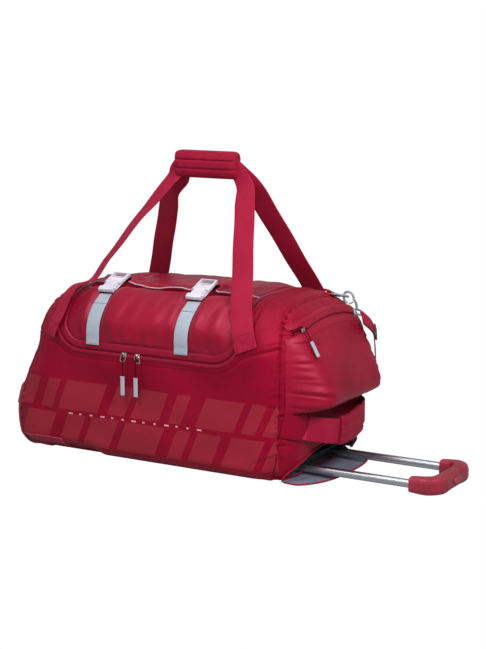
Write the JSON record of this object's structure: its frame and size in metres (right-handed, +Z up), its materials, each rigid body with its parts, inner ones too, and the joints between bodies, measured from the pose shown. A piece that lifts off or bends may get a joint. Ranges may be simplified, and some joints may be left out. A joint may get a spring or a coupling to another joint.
{
  "type": "rolling duffel bag",
  "caption": "Soft wheeled duffel bag with zipped lid, carry loops, end pocket, shoulder strap and telescopic tow handle.",
  "frame": {"origin": "on the floor plane under the middle of the body, on the flat underside of the belly pad", "axes": "+X along the bag towards the tow handle, +Z up, -Y the front long side with the lid zip"},
  "size_m": [0.9369, 0.3882, 0.6108],
  "materials": {
    "nylon": "plain-weave nylon, slight sheen",
    "webbing": "ribbed polyester webbing",
    "grey_webbing": "grey ribbed webbing",
    "zip_tape": "woven tape with coil",
    "buckle_plastic": "milky moulded acetal",
    "grey_plastic": "fine-grained moulding",
    "slider_metal": "nickel plated",
    "red_plastic": "semi-gloss moulding",
    "tube_aluminium": "satin anodised",
    "steel": "zinc plated",
    "wheel_rubber": "moulded",
    "black_plastic": "glass-filled nylon",
    "board": "extruded polyethylene sheet"
  },
  "bodies": {
    "bag": {"body_shell": "nylon", "base_board": "board", "belly_pad": "nylon", "wheel_housing_front": "red_plastic", "wheel_housing_rear": "red_plastic", "wheel_axle_front": "steel", "wheel_axle_rear": "steel", "tube_bracket": "black_plastic", "handle_collar": "black_plastic", "outer_tube_front": "tube_aluminium", "outer_tube_rear": "tube_aluminium", "zip_tape": "zip_tape", "end_pocket": "nylon", "pocket_zip_tape": "zip_tape", "grab_band": "webbing", "grab_sleeve": "webbing", "ring_tab_left": "webbing", "ring_tab_right": "webbing", "d_ring_left": "grey_plastic", "d_ring_right": "grey_plastic", "snap_hook_left": "grey_plastic", "snap_hook_right": "grey_plastic", "shoulder_strap": "webbing", "shoulder_pad": "nylon"},
    "wheel_front": {"wheel_tyre_front": "wheel_rubber", "wheel_hub_front": "black_plastic", "wheel_bearing_front": "steel"},
    "wheel_rear": {"wheel_tyre_rear": "wheel_rubber", "wheel_hub_rear": "black_plastic", "wheel_bearing_rear": "steel"},
    "tow_handle": {"tow_grip": "red_plastic", "inner_tube_front": "tube_aluminium", "inner_tube_rear": "tube_aluminium"},
    "push_button": {"push_button": "red_plastic"},
    "release_rods": {"release_rod_front": "steel", "release_rod_rear": "steel"},
    "lid": {"lid_panel": "nylon", "lid_strap_left": "grey_webbing", "lid_strap_right": "grey_webbing", "buckle_web_left": "webbing", "buckle_web_right": "webbing", "buckle_socket_left": "buckle_plastic", "buckle_socket_right": "buckle_plastic", "lid_piping": "grey_webbing"},
    "buckle_left": {"buckle_prong_left": "buckle_plastic"},
    "buckle_right": {"buckle_prong_right": "buckle_plastic"},
    "carry_loop_front": {"carry_strap_front": "webbing", "carry_grip_front": "webbing"},
    "carry_loop_rear": {"carry_strap_rear": "webbing", "carry_grip_rear": "webbing"},
    "zip_slider_left": {"zip_slider_left": "slider_metal"},
    "zip_slider_right": {"zip_slider_right": "slider_metal"},
    "zip_pull_left": {"zip_pull_left": "grey_plastic"},
    "zip_pull_right": {"zip_pull_right": "grey_plastic"},
    "pocket_slider": {"pocket_slider": "slider_metal"},
    "pocket_pull": {"pocket_pull": "grey_plastic"},
    "garage_flap": {"garage_flap": "nylon"},
    "hook_gate_left": {"hook_gate_left": "grey_plastic"},
    "hook_gate_right": {"hook_gate_right": "grey_plastic"}
  },
  "joints": [
    {"name": "tow_handle_slide", "type": "slide", "parent": "bag", "child": "tow_handle", "axis": [1, 0, 0], "range_m": [-0.155, 0.1]},
    {"name": "push_button_press", "type": "slide", "parent": "tow_handle", "child": "push_button", "axis": [-1, 0, 0], "range_m": [0, 0.004], "stiffness_N_per_m": 300},
    {"name": "release_rods_slide", "type": "slide", "parent": "tow_handle", "child": "release_rods", "axis": [-1, 0, 0], "range_m": [0, 0.004]},
    {"name": "wheel_front_spin", "type": "hinge", "parent": "bag", "child": "wheel_front", "pos_m": [-0.338, -0.128, 0.04], "axis": [0, 1, 0], "continuous": true},
    {"name": "wheel_rear_spin", "type": "hinge", "parent": "bag", "child": "wheel_rear", "pos_m": [-0.338, 0.128, 0.04], "axis": [0, 1, 0], "continuous": true},
    {"name": "lid_hinge", "type": "hinge", "parent": "bag", "child": "lid", "pos_m": [0, 0.125, 0.3267], "axis": [-1, 0, 0], "range_deg": [0, 105]},
    {"name": "carry_loop_front_swing", "type": "hinge", "parent": "bag", "child": "carry_loop_front", "pos_m": [0, -0.17822, 0.2375], "axis": [1, 0, 0], "range_deg": [0, 152], "deforming": ["carry_strap_front"]},
    {"name": "carry_loop_rear_swing", "type": "hinge", "parent": "bag", "child": "carry_loop_rear", "pos_m": [0, 0.17822, 0.2375], "axis": [-1, 0, 0], "range_deg": [0, 152], "deforming": ["carry_strap_rear"]},
    {"name": "buckle_left_release", "type": "slide", "parent": "lid", "child": "buckle_left", "axis": [0, 0.9192, 0.3938], "range_m": [0, 0.024]},
    {"name": "buckle_right_release", "type": "slide", "parent": "lid", "child": "buckle_right", "axis": [0, 0.9166, 0.3997], "range_m": [0, 0.024]},
    {"name": "zip_slider_left_run", "type": "slide", "parent": "bag", "child": "zip_slider_left", "axis": [-1, 0, 0], "range_m": [0, 0.095]},
    {"name": "zip_slider_right_run", "type": "slide", "parent": "bag", "child": "zip_slider_right", "axis": [1, 0, 0], "range_m": [0, 0.15]},
    {"name": "zip_pull_left_swing", "type": "hinge", "parent": "zip_slider_left", "child": "zip_pull_left", "pos_m": [-0.081, -0.18385, 0.2232], "axis": [-1, 0, 0], "range_deg": [0, 110]},
    {"name": "zip_pull_right_swing", "type": "hinge", "parent": "zip_slider_right", "child": "zip_pull_right", "pos_m": [-0.05, -0.18385, 0.2232], "axis": [-1, 0, 0], "range_deg": [0, 110]},
    {"name": "pocket_slider_run", "type": "hinge", "parent": "bag", "child": "pocket_slider", "pos_m": [0.2777, 0, -0.146], "axis": [-1, 0, 0], "range_deg": [0, 24]},
    {"name": "pocket_pull_swing", "type": "hinge", "parent": "pocket_slider", "child": "pocket_pull", "pos_m": [0.2849, -0.11314, 0.29429], "axis": [0, -1, 0], "range_deg": [0, 60]},
    {"name": "garage_flap_lift", "type": "hinge", "parent": "bag", "child": "garage_flap", "pos_m": [0.2656, 0, 0.0053], "axis": [0, -1, 0], "range_deg": [0, 5]},
    {"name": "hook_gate_left_open", "type": "hinge", "parent": "bag", "child": "hook_gate_left", "pos_m": [-0.31739, 0.09615, 0.30335], "axis": [0, 0.9499, -0.3125], "range_deg": [0, 18]},
    {"name": "hook_gate_right_open", "type": "hinge", "parent": "bag", "child": "hook_gate_right", "pos_m": [0.2731, 0.08737, 0.31512], "axis": [0, -0.9693, 0.246], "range_deg": [0, 18]}
  ],
  "couplings": [
    {"joint": "release_rods_slide", "follows": "push_button_press", "ratio": 1},
    {"joint": "carry_loop_front_swing", "follows": "lid_hinge", "ratio": 1.43},
    {"joint": "carry_loop_rear_swing", "follows": "lid_hinge", "ratio": 1.43}
  ]
}
